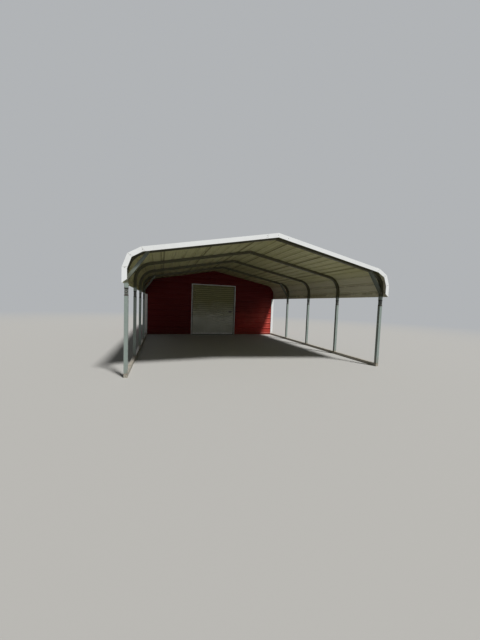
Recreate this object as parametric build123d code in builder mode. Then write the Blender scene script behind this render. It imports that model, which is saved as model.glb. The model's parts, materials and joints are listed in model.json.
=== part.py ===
# Steel carport with a storage room: bent square-tube bows on legs and base rails,
# ribbed roof sheets wrapped over the bows, and an enclosed room behind the open bays.
# Front faces -Y, +X is to the right, +Z is up, all sizes in millimetres.
import os
from math import cos, pi, radians, sin, tan
from build123d import *

# Frame
frame_width = 5486.4        # outside of the legs
bay = 1524.0                # bow to bow
open_bays = 4
storage_bays = 2
tube = 63.5
tube_wall = 2.1
roof_slope = 11.4           # degrees
bend_radius = 406.4         # centre line of the bow at the eaves
leg_top = 1425.0
pin_show = 110.0            # pin left bare between leg and bow
bow_leg = 258.0             # straight end of the bow, below its bend
pin_grip = 100.0            # pin inside a tube
weld = 8.0
end_plate = 3.0             # closes the ends of the base rails
drain_slot = 10.0
peak_plate_length = 300.0
peak_plate = 3.0
seat = 0.3                  # fitting clearance

# Sheets
sheet = 1.5
rib_pitch = 228.6
rib_height = 19.0
rib_foot = 62.0
rib_crown = 22.0
ribs_per_sheet = 4
lap_lip = 12.0
overhang = 127.0
eave_drop = 175.0           # roof sheet below the bend

# Trim along the roof ends
trim_face = 82.0
trim_flange = 50.0
trim_end_cut = 66.0
trim_joint_x = -300.0

# Knee braces
brace_depth = 50.8
brace_lap = 42.0            # over the sides of the bow
brace_drop = 99.0           # lower end below the bend
brace_reach = -30.0         # upper end along the bow, from the start of its bend

# Storage room walls
wall_bottom = 10.0
first_wall_rib = 76.0
corner_trim = 100.0
rail_notch = 2.0            # room round the base rail where it passes under the siding

# Roll-up door
door_width = 1828.8
header_room = 289.0         # between header and bow at the jambs
door_trim_width = 30.0
guide_cover = 36.0
guide_setback = 12.0
curtain_pitch = 85.0
curtain_depth = 18.0
curtain_flat = 30.0
curtain_grip = 28.0
bar_height = 58.0
seal_height = 24.0
seal_lift = 1.0
latch_inset = 184.0         # from the edge of the doorway
latch_z = 990.0
latch_length = 140.0
latch_height = 56.0
latch_plate = 3.0
bolt_diameter = 14.0
bolt_lift = 1.5             # gap between bolt and plate

# Values that follow from the sizes above
half_width = frame_width / 2
slope = radians(roof_slope)
bays = open_bays + storage_bays
bend_outer = bend_radius + tube / 2
bend_turn = pi / 2 - slope
bend_tangent = bend_outer * tan(bend_turn / 2)
bend_x = half_width - bend_outer
bow_end_z = leg_top + pin_show
bend_z = bow_end_z + bow_leg
peak_height = bend_z + bend_tangent + half_width * tan(slope)
bend_start = half_width / cos(slope) - bend_tangent
bend_end = bend_start + bend_outer * bend_turn
eave_height = bend_z - eave_drop
eave_station = bend_end + eave_drop
pin = tube - 2 * tube_wall - 2 * seat
leg_x = half_width - tube / 2
first_bow_y = -bay * bays / 2
room_front = first_bow_y + open_bays * bay - tube / 2
room_back = -first_bow_y + tube / 2
roof_front = first_bow_y - tube / 2 - overhang
roof_length = -2 * roof_front
siding_depth = seat + rib_height + sheet
lap_rise = sheet + seat
trim_line = 3 * seat + rib_height + 2 * sheet + sheet
guide_slot = curtain_depth + 2 * seat
curtain_front = room_front + guide_setback + sheet + seat
clear_half = door_width / 2 - seat
guide_inner = clear_half - guide_cover
jamb_x = door_width / 2 + tube / 2
mid_post_x = (door_width / 2 + half_width) / 2
door_height = peak_height - (jamb_x + tube / 2) * tan(slope) - (tube + seat) / cos(slope) - tube - header_room
latch_x = door_width / 2 - latch_inset

finished = []


def bow_y(number):
    return first_bow_y + (number - 1) * bay


def keep(builder, name):
    builder.part.label = name
    finished.append(builder.part)


def section_plane(y):
    """Upright plane across the carport, local axes along +X and +Z."""
    return Plane.XZ.offset(-y)


def roof_point(station, rise):
    """Point of the cross-section: station runs down the bow's outer line from the ridge."""
    if station < bend_start:
        x = station * cos(slope) + rise * sin(slope)
        z = peak_height - station * sin(slope) + rise * cos(slope)
    elif station < bend_end:
        angle = slope + (station - bend_start) / bend_outer
        x = bend_x + (bend_outer + rise) * sin(angle)
        z = bend_z + (bend_outer + rise) * cos(angle)
    else:
        x = half_width + rise
        z = bend_z - (station - bend_end)
    return x, z


def ridge_point(rise):
    return 0, peak_height + rise / cos(slope)


def bow_line(rise, end_z):
    """Right half of a line that follows the bow, from the ridge down to a height."""
    bend_middle = (bend_start + bend_end) / 2
    Line(ridge_point(rise), roof_point(bend_start, rise))
    ThreePointArc(roof_point(bend_start, rise), roof_point(bend_middle, rise), roof_point(bend_end, rise))
    Line(roof_point(bend_end, rise), (half_width + rise, end_z))


def bow_band(top, bottom, end_z):
    """Band between two lines that follow the bow, closed over the ridge."""
    with BuildLine() as band:
        bow_line(top, end_z)
        bow_line(bottom, end_z)
        Line((half_width + top, end_z), (half_width + bottom, end_z))
        mirror(about=Plane.YZ)
    make_face(band.edges())


def square_tube(plane, length):
    """Hollow square tube from the plane, along its normal."""
    with BuildSketch(plane) as section:
        Rectangle(tube, tube)
        Rectangle(tube - 2 * tube_wall, tube - 2 * tube_wall, mode=Mode.SUBTRACT)
    extrude(section.sketch, amount=length)


def square_pin(plane, length):
    with BuildSketch(plane) as section:
        Rectangle(pin, pin)
        Rectangle(pin - 2 * tube_wall, pin - 2 * tube_wall, mode=Mode.SUBTRACT)
    extrude(section.sketch, amount=length)


def build_bow(y):
    with BuildPart() as bow:
        with BuildSketch(section_plane(y)):
            bow_band(0, -tube, bow_end_z)
        extrude(amount=tube / 2, both=True)
        with BuildSketch(section_plane(y)):
            bow_band(-tube_wall, tube_wall - tube, bow_end_z)
        extrude(amount=tube / 2 - tube_wall, both=True, mode=Mode.SUBTRACT)
        with BuildSketch(section_plane(y)):
            with BuildLine():
                Line(ridge_point(-tube), roof_point(peak_plate_length / 2, -tube))
                Line(roof_point(peak_plate_length / 2, -tube), roof_point(peak_plate_length / 2, -tube - peak_plate))
                Line(roof_point(peak_plate_length / 2, -tube - peak_plate), ridge_point(-tube - peak_plate))
                mirror(about=Plane.YZ)
            make_face()
        extrude(amount=tube / 2, both=True)
    return bow


def build_legs(side, numbers):
    """Legs that stand on the base rail, each with the pin that holds its bow."""
    with BuildPart() as legs:
        for number in numbers:
            foot = Plane(origin=(side * leg_x, bow_y(number), 0))
            square_tube(foot.offset(tube), leg_top - tube)
            square_pin(foot.offset(leg_top - pin_grip), 2 * pin_grip + pin_show)
            with BuildSketch(foot.offset(leg_top - weld)):
                Rectangle(tube - tube_wall, tube - tube_wall)
                Rectangle(pin - tube_wall, pin - tube_wall, mode=Mode.SUBTRACT)
            extrude(amount=weld)
    return legs


def build_base_rail(side):
    """Tube along one side, closed at its ends, with a pin for every leg."""
    with BuildPart() as rail:
        end = Plane(origin=(side * leg_x, first_bow_y - tube / 2, tube / 2), z_dir=(0, 1, 0))
        square_tube(end, bays * bay + tube)
        for plate in (end, end.offset(bays * bay + tube - end_plate)):
            with BuildSketch(plate) as closed_end:
                Rectangle(tube - 2 * tube_wall, tube - 2 * tube_wall)
                Rectangle(drain_slot, drain_slot, mode=Mode.SUBTRACT)
            extrude(closed_end.sketch, amount=end_plate)
        for number in range(1, bays + 2):
            square_pin(Plane(origin=(side * leg_x, bow_y(number), tube - tube_wall)), tube_wall + pin_grip)
    return rail


def cross_tube(left, right, y, bottom):
    """Level tube from left to right."""
    square_tube(Plane(origin=(left, y, bottom + tube / 2), z_dir=(1, 0, 0)), right - left)


def brace_strip(near, far, lap):
    """Strip along the brace between two distances from its inner face, its ends cut along the bow."""
    low = Vector(half_width - tube, bend_z - brace_drop)
    high = Vector(*roof_point(bend_start + brace_reach, -tube))
    along = (high - low).normalized()
    outward = Vector(along.Y, -along.X)
    corners = []
    for end, end_normal, depths in (
        (low, Vector(1, 0), (near, far)), (high, Vector(sin(slope), cos(slope)), (far, near)),
    ):
        for depth in depths:
            edge = low + outward * depth
            length = (end + end_normal * lap - edge).dot(end_normal) / along.dot(end_normal)
            corners.append(edge + along * length)
    Polyline(*corners, close=True)


def build_braces():
    """Folded channels, open towards the bend, with both flanges lapped over the sides of the bow."""
    inner_half = tube / 2 + seat
    with BuildPart() as braces:
        for number in (1, open_bays):
            plane = section_plane(bow_y(number))
            with BuildSketch(plane):
                with BuildLine():
                    brace_strip(0, brace_depth, brace_lap)
                make_face()
            extrude(amount=inner_half + tube_wall, both=True)
            with BuildSketch(plane):
                with BuildLine():
                    brace_strip(tube_wall, 2 * brace_depth, 2 * brace_lap)
                make_face()
            extrude(amount=inner_half, both=True, mode=Mode.SUBTRACT)
            with BuildSketch(plane):
                bow_band(seat, -tube - seat, bow_end_z)
            extrude(amount=inner_half, both=True, mode=Mode.SUBTRACT)
    return braces


def rib(centre):
    """Corners of one trapezoid rib, as distance along the sheet and height above it."""
    return [
        (centre - rib_foot / 2, 0), (centre - rib_crown / 2, rib_height),
        (centre + rib_crown / 2, rib_height), (centre + rib_foot / 2, 0),
    ]


def lap_rib(centre):
    """Rib at the lower edge of a sheet, raised to lie over the rib of the next one."""
    ease = lap_rise * (rib_foot - rib_crown) / 2 / rib_height
    top = rib_height + lap_rise
    return [
        (centre - rib_foot / 2 - ease, 0), (centre - rib_crown / 2, top), (centre + rib_crown / 2, top),
        (centre + rib_foot / 2, lap_rise), (centre + rib_foot / 2 + lap_lip, lap_rise),
    ]


def split_flats(stations):
    """Adds the ends of the bend to the flat stretches that cross them."""
    result = [stations[0]]
    for (start, start_rise), (end, end_rise) in zip(stations, stations[1:]):
        if start_rise == end_rise:
            result += [(mark, end_rise) for mark in (bend_start, bend_end) if start < mark < end]
        result.append((end, end_rise))
    return result


def sheet_side(stations, rise):
    """One face of a sheet, straight on the slope and curved round the bend."""
    for (start, start_rise), (end, end_rise) in zip(stations, stations[1:]):
        first = roof_point(start, start_rise + rise)
        last = roof_point(end, end_rise + rise)
        middle = (start + end) / 2
        if start_rise == end_rise and bend_start < middle < bend_end:
            ThreePointArc(first, roof_point(middle, start_rise + rise), last)
        else:
            Line(first, last)


def build_roof_sheet(first_rib, last_rib):
    """Sheet with its upper edge under the sheet above it and its lower edge over the next."""
    ends_at_eave = last_rib is None
    stations = rib(first_rib)
    position = first_rib + rib_pitch
    limit = eave_station - rib_foot / 2 if ends_at_eave else last_rib - rib_pitch / 2
    while position < limit:
        stations += rib(position)
        position += rib_pitch
    stations += [(eave_station, 0)] if ends_at_eave else lap_rib(last_rib)
    stations = split_flats(stations)
    with BuildPart() as panel:
        with BuildSketch(Plane.XZ):
            with BuildLine():
                sheet_side(stations, seat)
                sheet_side(stations, seat + sheet)
                for station, rise in (stations[0], stations[-1]):
                    Line(roof_point(station, rise + seat), roof_point(station, rise + seat + sheet))
            make_face()
        extrude(amount=roof_length / 2, both=True)
    return panel


def build_ridge_sheet():
    stations = rib(rib_pitch / 2) + lap_rib(rib_pitch * 3 / 2)
    with BuildPart() as panel:
        with BuildSketch(Plane.XZ):
            with BuildLine():
                for rise in (seat, seat + sheet):
                    Line(ridge_point(rise), roof_point(stations[0][0], rise))
                    sheet_side(stations, rise)
                station, rise = stations[-1]
                Line(roof_point(station, rise + seat), roof_point(station, rise + seat + sheet))
                mirror(about=Plane.YZ)
            make_face()
        extrude(amount=roof_length / 2, both=True)
    return panel


def mirrored(part):
    with BuildPart() as other:
        mirror(part, about=Plane.YZ)
    return other


def facet_points(rise, end_z):
    """Kinks of the folded trim: three folds, tangent to the bend in between."""
    quarter = bend_turn / 4
    radius = bend_outer + rise
    points = [ridge_point(rise)]
    for turn, fold in ((0.5, 0.5), (2, 1), (3.5, 0.5)):
        angle = slope + turn * quarter
        reach = radius / cos(fold * quarter)
        points.append((bend_x + reach * sin(angle), bend_z + reach * cos(angle)))
    points.append((half_width + rise, end_z))
    return points


def build_end_trim(facing, reaches_right):
    """Folded angle over one end of the roof, one half of it up to the joint by the ridge."""
    face_y = facing * (-roof_front + seat)
    outer = facet_points(trim_line, eave_height)
    lower = facet_points(trim_line - trim_face, eave_height + trim_end_cut)
    flange = facet_points(trim_line - sheet, eave_height)
    with BuildPart() as trim:
        for edge, depth in ((lower, sheet), (flange, sheet + trim_flange)):
            outside = face_y + facing * sheet
            with BuildSketch(section_plane(outside)):
                with BuildLine():
                    Polyline(*outer)
                    Polyline(*edge)
                    Line(outer[-1], edge[-1])
                    mirror(about=Plane.YZ)
                make_face()
            extrude(amount=facing * depth)
        keep_side = Keep.TOP if reaches_right else Keep.BOTTOM
        split(bisect_by=Plane.YZ.offset(trim_joint_x), keep=keep_side)
    return trim


def siding_stations(bottom, top):
    """Corners of upright siding with level ribs."""
    stations = [(bottom, 0)]
    centre = first_wall_rib
    while centre + rib_foot / 2 < top:
        stations += rib(centre)
        centre += rib_pitch
    return stations + [(top, 0)]


def siding_outline(place, stations):
    """Closed section of the siding, where place turns height and depth into a point."""
    back = [place(height, depth + seat) for height, depth in stations]
    front = [place(height, depth + seat + sheet) for height, depth in stations]
    Polyline(*back, *reversed(front), close=True)


def rail_notches():
    """Room for both base rails, in the sketch of a wall across them."""
    with Locations((-leg_x, 0), (leg_x, 0)):
        Rectangle(tube + 2 * rail_notch, 2 * (tube + rail_notch), mode=Mode.SUBTRACT)


def build_end_wall(face_y, facing, left, right, bottom):
    """Ribbed siding on one side of the room, cut to the line of the bow."""
    with BuildPart() as wall:
        with BuildSketch(Plane.YZ):
            with BuildLine():
                siding_outline(lambda height, depth: (face_y + facing * depth, height),
                               siding_stations(wall_bottom, peak_height))
            make_face()
        extrude(amount=half_width, both=True)
        with BuildSketch(section_plane(face_y)):
            with BuildLine():
                bow_line(-seat, wall_bottom)
                Line((half_width - seat, wall_bottom), (0, wall_bottom))
                mirror(about=Plane.YZ)
            make_face()
            with Locations(((left + right) / 2, (bottom + peak_height) / 2)):
                Rectangle(right - left, peak_height - bottom, mode=Mode.INTERSECT)
            rail_notches()
        extrude(amount=2 * siding_depth, both=True, mode=Mode.INTERSECT)
    return wall


def build_side_wall():
    with BuildPart() as wall:
        with BuildSketch(section_plane(room_front)):
            with BuildLine():
                siding_outline(lambda height, depth: (half_width + depth, height),
                               siding_stations(wall_bottom, eave_height - seat))
            make_face()
        extrude(amount=room_front - room_back)
    return wall


def build_corner_trims():
    """Folded angle over the ends of the ribs at each corner of the room."""
    out = siding_depth + seat + sheet
    with BuildPart() as trims:
        for side in (-1, 1):
            for face_y, facing in ((room_front, -1), (room_back, 1)):
                corner_x = side * (half_width + out)
                corner_y = face_y + facing * out
                with BuildSketch(Plane.XY.offset(wall_bottom)):
                    with BuildLine():
                        Polyline(
                            (corner_x - side * corner_trim, corner_y), (corner_x, corner_y),
                            (corner_x, corner_y - facing * corner_trim),
                            (corner_x - side * sheet, corner_y - facing * corner_trim),
                            (corner_x - side * sheet, corner_y - facing * sheet),
                            (corner_x - side * corner_trim, corner_y - facing * sheet), close=True,
                        )
                    make_face()
                extrude(amount=eave_height - seat - wall_bottom)
        with BuildSketch(section_plane(room_front)):
            with Locations((-leg_x, 0), (leg_x, 0)):
                Rectangle(tube + 2 * rail_notch, 2 * (tube + rail_notch))
        extrude(amount=2 * siding_depth, mode=Mode.SUBTRACT)
    return trims


def rafter_underside(x):
    return peak_height - abs(x) * tan(slope) - (tube + seat) / cos(slope)


def wall_post(x, y):
    """Upright tube from the rail to the bow, its top cut to the slope."""
    for half, mode in ((tube / 2, Mode.ADD), (tube / 2 - tube_wall, Mode.SUBTRACT)):
        with BuildSketch(section_plane(y)) as section:
            with BuildLine():
                Polyline(
                    (x - half, tube), (x + half, tube),
                    (x + half, rafter_underside(x + half)), (x - half, rafter_underside(x - half)),
                    close=True,
                )
            make_face()
        extrude(section.sketch, amount=half, both=True, mode=mode)


def build_door_framing():
    """Tube jambs from rail to bow, with the header between them."""
    with BuildPart() as framing:
        for side in (-1, 1):
            wall_post(side * jamb_x, room_front + tube / 2)
        cross_tube(-door_width / 2, door_width / 2, room_front + tube / 2, door_height)
    return framing


def build_wall_posts():
    """Posts between the corners and the doorway, and the same across the rear wall."""
    with BuildPart() as posts:
        for side in (-1, 1):
            wall_post(side * mid_post_x, room_front + tube / 2)
            wall_post(side * jamb_x, room_back - tube / 2)
            wall_post(side * mid_post_x, room_back - tube / 2)
    return posts


def door_border(outer, inner):
    """Frame round the doorway, open at the bottom, between two distances from its edge."""
    outer_height = door_height + outer - wall_bottom
    inner_height = door_height + inner - wall_bottom
    with Locations((0, wall_bottom)):
        Rectangle(door_width + 2 * outer, outer_height, align=(Align.CENTER, Align.MIN))
        Rectangle(door_width + 2 * inner, inner_height, align=(Align.CENTER, Align.MIN), mode=Mode.SUBTRACT)


def build_door_trim():
    """Trim that closes the ends of the ribs, with a leg turned into the doorway."""
    front = room_front - siding_depth - seat - sheet
    with BuildPart() as trim:
        with BuildSketch(section_plane(front)):
            door_border(door_trim_width, -seat - sheet)
        extrude(amount=-sheet)
        with BuildSketch(section_plane(front)):
            door_border(-seat, -seat - sheet)
        extrude(amount=-(room_front - front))
    return trim


def build_guides():
    """Channel on each jamb in which the curtain runs."""
    with BuildPart() as guides:
        for side in (-1, 1):
            with BuildSketch(Plane.XY.offset(wall_bottom)):
                with Locations((side * (clear_half + guide_inner) / 2, curtain_front - seat + guide_slot / 2)):
                    Rectangle(guide_cover, guide_slot + 2 * sheet)
                with Locations((side * (clear_half + guide_inner - 2 * sheet) / 2,
                                curtain_front - seat + guide_slot / 2)):
                    Rectangle(guide_cover, guide_slot, mode=Mode.SUBTRACT)
            extrude(amount=door_height - seat - wall_bottom)
    return guides


def build_curtain():
    """Corrugated steel curtain from the bottom bar up to the header."""
    bottom = seal_lift + seal_height + bar_height + 2 * seat
    top = door_height - seat
    swing = curtain_depth - sheet
    ramp = curtain_pitch / 2 - curtain_flat
    stations = [(bottom, swing)]
    level = bottom + curtain_flat / 2
    count = int((top - bottom - curtain_flat) / curtain_pitch)
    for number in range(count):
        base = level + number * curtain_pitch
        stations += [(base, swing), (base + ramp, 0), (base + ramp + curtain_flat, 0),
                     (base + 2 * ramp + curtain_flat, swing)]
    stations.append((top, swing))
    with BuildPart() as curtain:
        with BuildSketch(Plane.YZ):
            with BuildLine():
                back = [(curtain_front + depth + sheet, height) for height, depth in stations]
                front = [(curtain_front + depth, height) for height, depth in stations]
                Polyline(*front, *reversed(back), close=True)
            make_face()
        extrude(amount=guide_inner + curtain_grip, both=True)
    return curtain


def build_bottom_bar():
    bottom = seal_lift + seal_height + seat
    with BuildPart() as bar:
        with BuildSketch(Plane.YZ):
            with BuildLine():
                Polyline(
                    (curtain_front, bottom), (curtain_front + curtain_depth, bottom),
                    (curtain_front + curtain_depth, bottom + bar_height),
                    (curtain_front + curtain_depth - 2 * sheet, bottom + bar_height),
                    (curtain_front + curtain_depth - 2 * sheet, bottom + 2 * sheet),
                    (curtain_front + 2 * sheet, bottom + 2 * sheet),
                    (curtain_front + 2 * sheet, bottom + bar_height / 2),
                    (curtain_front, bottom + bar_height / 2), close=True,
                )
            make_face()
        extrude(amount=guide_inner - seat, both=True)
    return bar


def build_seal():
    """Rubber tube under the bottom bar."""
    with BuildPart() as seal:
        with BuildSketch(Plane.YZ):
            with Locations((curtain_front + curtain_depth / 2, seal_lift + seal_height / 2)):
                RectangleRounded(curtain_depth, seal_height, curtain_depth / 2 - 1)
                RectangleRounded(curtain_depth - 6, seal_height - 6, (curtain_depth - 6) / 2 - 1, mode=Mode.SUBTRACT)
        extrude(amount=guide_inner - seat, both=True)
    return seal


def build_latch():
    """Slide bolt on its plate, with two keepers and a turned-down handle."""
    plate_back = curtain_front - seat
    plate_front = plate_back - latch_plate
    bolt_y = plate_front - bolt_lift - bolt_diameter / 2
    with BuildPart() as latch:
        with BuildSketch(section_plane(plate_back)):
            with Locations((latch_x, latch_z)):
                RectangleRounded(latch_length, latch_height, latch_height / 6)
        extrude(amount=latch_plate)
        with BuildSketch(Plane.YZ.offset(latch_x - latch_length / 2)):
            with Locations((bolt_y, latch_z)):
                Circle(bolt_diameter / 2)
        extrude(amount=latch_length * 1.15)
        with BuildSketch(section_plane(plate_front)):
            with Locations((latch_x - latch_length / 4, latch_z), (latch_x + latch_length / 4, latch_z)):
                Rectangle(latch_length / 8, bolt_diameter * 2)
        extrude(amount=bolt_lift + bolt_diameter + latch_plate)
        with BuildSketch(Plane.XY.offset(latch_z - latch_height / 2)):
            with Locations((latch_x, bolt_y)):
                Circle(bolt_diameter / 3)
        extrude(amount=latch_height / 2)
    return latch


for number in range(1, bays + 2):
    keep(build_bow(bow_y(number)), f"bow_{number}")
for name, side in (("left", -1), ("right", 1)):
    for number in range(1, open_bays + 1):
        keep(build_legs(side, [number]), f"leg_{name}_{number}")
    keep(build_legs(side, range(open_bays + 1, bays + 2)), f"storage_legs_{name}")
    keep(build_base_rail(side), f"base_rail_{name}")

with BuildPart() as storage_base_rails:
    inner_end = half_width - tube - seat
    cross_tube(-inner_end, -door_width / 2, room_front + tube / 2, 0)
    cross_tube(door_width / 2, inner_end, room_front + tube / 2, 0)
    cross_tube(-inner_end, inner_end, room_back - tube / 2, 0)
keep(storage_base_rails, "storage_base_rails")

braces = build_braces()
keep(braces, "knee_braces_right")
keep(mirrored(braces.part), "knee_braces_left")

keep(build_ridge_sheet(), "roof_panel_ridge")
lap = rib_pitch * 3 / 2
sheet_cover = ribs_per_sheet * rib_pitch
for name, start, end in (("upper", lap, lap + sheet_cover), ("middle", lap + sheet_cover, lap + 2 * sheet_cover),
                         ("lower", lap + 2 * sheet_cover, None)):
    panel = build_roof_sheet(start, end)
    keep(panel, f"roof_panel_right_{name}")
    keep(mirrored(panel.part), f"roof_panel_left_{name}")

for end, facing in (("front", -1), ("rear", 1)):
    for name, reaches_right in (("left", False), ("right", True)):
        keep(build_end_trim(facing, reaches_right), f"{end}_trim_{name}")

keep(build_end_wall(room_front, -1, -half_width, -door_width / 2, wall_bottom), "storage_front_wall_left")
keep(build_end_wall(room_front, -1, door_width / 2, half_width, wall_bottom), "storage_front_wall_right")
keep(build_end_wall(room_front, -1, -door_width / 2, door_width / 2, door_height), "storage_front_wall_over_door")
keep(build_end_wall(room_back, 1, -half_width, half_width, wall_bottom), "storage_rear_wall")
side_wall = build_side_wall()
keep(side_wall, "storage_right_wall")
keep(mirrored(side_wall.part), "storage_left_wall")
keep(build_corner_trims(), "storage_corner_trims")
keep(build_wall_posts(), "storage_wall_posts")

keep(build_door_framing(), "door_framing")
keep(build_door_trim(), "door_trim")
keep(build_guides(), "door_guides")
keep(build_curtain(), "door_curtain")
keep(build_bottom_bar(), "door_bottom_bar")
keep(build_seal(), "door_seal")
keep(build_latch(), "door_latch")

os.makedirs("parts", exist_ok=True)
for part in finished:
    export_step(part, f"parts/{part.label}.step")
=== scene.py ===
import json
import math
import random

import bmesh
import bpy
from mathutils import Matrix, Vector


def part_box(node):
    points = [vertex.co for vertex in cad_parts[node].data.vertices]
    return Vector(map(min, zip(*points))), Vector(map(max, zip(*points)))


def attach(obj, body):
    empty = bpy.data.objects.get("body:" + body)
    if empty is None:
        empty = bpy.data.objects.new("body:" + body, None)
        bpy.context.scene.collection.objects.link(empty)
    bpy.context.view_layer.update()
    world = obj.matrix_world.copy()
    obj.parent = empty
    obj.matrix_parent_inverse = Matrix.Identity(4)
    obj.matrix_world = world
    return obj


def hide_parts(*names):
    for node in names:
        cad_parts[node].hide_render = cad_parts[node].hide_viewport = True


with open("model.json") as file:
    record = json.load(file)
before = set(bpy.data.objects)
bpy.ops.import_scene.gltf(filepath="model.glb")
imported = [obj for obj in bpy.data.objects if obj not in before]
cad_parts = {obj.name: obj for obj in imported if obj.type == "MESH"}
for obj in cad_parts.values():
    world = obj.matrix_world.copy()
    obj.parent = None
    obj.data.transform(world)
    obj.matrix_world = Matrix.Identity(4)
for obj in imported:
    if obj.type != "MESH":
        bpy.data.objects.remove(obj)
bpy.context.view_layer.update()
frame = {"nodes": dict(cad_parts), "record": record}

# Steel of the frame and its sheets, in metres
TUBE = 0.0635
TUBE_WALL = 0.0021
SEAT = 0.0003
SHEET = 0.0015
RIB_PITCH = 0.2286
RIBS_PER_SHEET = 4
RIB = (0.062, 0.022, 0.019)  # foot, crown and height
MINOR_RIB = (0.026, 0.011, 0.0035)
LAP_RISE = SHEET + SEAT  # of a sheet's last rib over the next sheet
LAP_LIP = 0.012
FIRST_WALL_RIB = 0.076
NOTCH = 0.002
SLOPE = math.radians(11.4)
BEND_RADIUS = 0.4064 + TUBE / 2  # outside of the bow
BEND_STEP = 0.025
ARC_STEPS = 16
SHARP_ANGLE = math.radians(28)  # edges turn sharp above this
LEG_TOP = 1.425
PIN_SHOW = 0.110
PEAK_PLATE = 0.300  # length of the plate under each peak
BRACE_DROP = 0.099  # from the lower end of the bend down to the brace
BRACE_REACH = -0.030  # from the upper end of the bend to the brace
BRACE_LAP = 0.042  # how far its sides lap over the tube

# Trim over the roof ends
TRIM_LINE = 3 * SEAT + RIB[2] + 3 * SHEET  # height over the bows
TRIM_FACE = 0.082
TRIM_TOP = TRIM_LINE - SEAT
TRIM_LOW = TRIM_LINE - TRIM_FACE
TRIM_FLANGE = 0.050
TRIM_END_CUT = 0.066
TRIM_JOINT = -0.300
TRIM_STEEL = 0.0008
TRIM_INSET = 0.0008  # leaves room for laps and rivets
TRIM_LIP = 0.009
DART_WIDTH = 0.030
TRIM_LAP = 0.084
# Dark strips along the lap edges of the trim paint their shade line, with some dirt
LAP_SHADE_WIDTH = 0.004
RIVET_KIND = 2  # the trim's outer and inner side are 0 and 1
LAP_SHADE_KIND = 3
DART_TOP = 0.04  # shares of the height of the trim's face, from its top
DART_RIVET = 0.58
LAP_RIVETS = (0.3, 0.75)
LAP_RIVET_REACH = 0.68  # share of the lap
RIDGE_RIVETS = (-0.012, 0.205)
DOOR_TRIM = 0.030

# Fasteners
WASHER = (0.0085, 0.0015)  # radius and thickness
HEX_HEAD = (0.0052, 0.0045)
WASHER_SIDES = 12
RIVET = (0.0065, 0.0005)
RIVET_SIDES = 10
BEAD_RADIUS = 0.0028
BEAD_STEP = 0.007
BEAD_SIDES = 6
SCREW_FROM_RIB = 0.042
SCREW_SCATTER = 0.006
LEG_SCREWS = (0.030, 0.072)  # down from the top of a leg, and up from its foot
BOW_SCREWS = (0.022, 0.064)  # up from the lower end of a bow
BRACE_SCREWS = (0.0, 0.034)  # along the tube, from the brace's inner edge
FLANGE_SCREWS = TRIM_FLANGE * 0.55  # in from the end of the roof
FLANGE_RIBS = range(0, 10, 2)  # counted down from the ridge
CORNER_SCREWS = 0.064  # in from the outer corner
CORNER_RIBS = range(7)  # counted up from the ground
JAMB_SCREWS = 0.012  # out from the middle of the jamb
TOP_MARGIN = 0.05  # no screw this close below the roofline
EAVE_MARGIN = 0.03
DOOR_RIBS = range(9)
HEADER_SCREWS = range(-3, 4)
HEADER_SCREW_PITCH = 0.26
LOW_HEAD = 0.28  # share of a head's height, where it may not stand out

# Camera, worked out from the photograph
CAMERA_PLACE = (-2.141, -9.327, 1.336)
CAMERA_YAW = math.radians(17.14)
CAMERA_PITCH = math.radians(-3.50)
CAMERA_ROLL = math.radians(2.04)
FOCAL_PIXELS = 256.6
PHOTO_HEIGHT = 640
SENSOR = 36.0  # millimetres

# Light
FILL_STRENGTH = 0.09
FILL_COLOUR = (0.95, 0.97, 1.0)
KEY_STRENGTH = 4.15
KEY_COLOUR = (1.0, 0.99, 0.97)
KEY_TOWARDS = (0.30, -0.58, 1.0)
KEY_WIDTH = math.radians(9)
BACKDROP = (0.44, 0.455, 0.47)
FLOOR_COLOUR = (0.40, 0.395, 0.38)
FLOOR_BOUNCE = (0.180, 0.171, 0.154)  # the floor's colour as the object sees it
FLOOR_SIZE = 120
FLOOR_FADE = (9.0, 26.0)  # the floor turns into the backdrop between these distances

# Marks on the zinc, and the painted shade on it
ZINC_PAINTED_SHADE = (0.062, 0.053, 0.013)
# Burnt steel, which also stands as painted shade in the gaps at the pin
BURNT_AND_SHADE = (0.026, 0.022, 0.018)
BURNT_AND_SHADE_WIDTH = 0.019
PIN_STAIN = 0.029

# Places taken from the frame
BOWS = [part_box(f"bow_{number}") for number in range(1, 8)]
BOW_Y = [(low.y + high.y) / 2 for low, high in BOWS]
HALF_WIDTH = BOWS[0][1].x
PEAK = BOWS[0][1].z
ROOF_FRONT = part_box("roof_panel_ridge")[0].y
ROOF_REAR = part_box("roof_panel_ridge")[1].y
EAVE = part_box("roof_panel_right_lower")[0].z
ROOM_FRONT = BOW_Y[4] - TUBE / 2
ROOM_BACK = BOW_Y[6] + TUBE / 2
WALL_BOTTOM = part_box("storage_rear_wall")[0].z
DOOR_HALF = -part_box("storage_front_wall_left")[1].x
DOOR_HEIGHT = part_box("storage_front_wall_over_door")[0].z
DOOR_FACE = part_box("door_curtain")[0].y
LEG_X = HALF_WIDTH - TUBE / 2
JAMB_X = DOOR_HALF + TUBE / 2
MID_POST_X = (DOOR_HALF + HALF_WIDTH) / 2

# Lines that follow from them
BOW_END = LEG_TOP + PIN_SHOW
BEND_TURN = math.pi / 2 - SLOPE
BEND_TANGENT = BEND_RADIUS * math.tan(BEND_TURN / 2)
BEND_X = HALF_WIDTH - BEND_RADIUS
BEND_Z = PEAK - BEND_TANGENT - HALF_WIDTH * math.tan(SLOPE)
BEND_START = HALF_WIDTH / math.cos(SLOPE) - BEND_TANGENT
BEND_END = BEND_START + BEND_RADIUS * BEND_TURN
EAVE_STATION = BEND_END + BEND_Z - EAVE

# Two heights, and the share of painted shade on the zinc at each of them
TUBES_PAINTED_SHADE = (EAVE - 0.01, EAVE + 0.03, 0.0, 0.86)
BRACES_PAINTED_SHADE = (EAVE + 0.30, EAVE + 0.08, 0.42, 0.78)

rng = random.Random(7)


# Camera, light and ground

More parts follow.
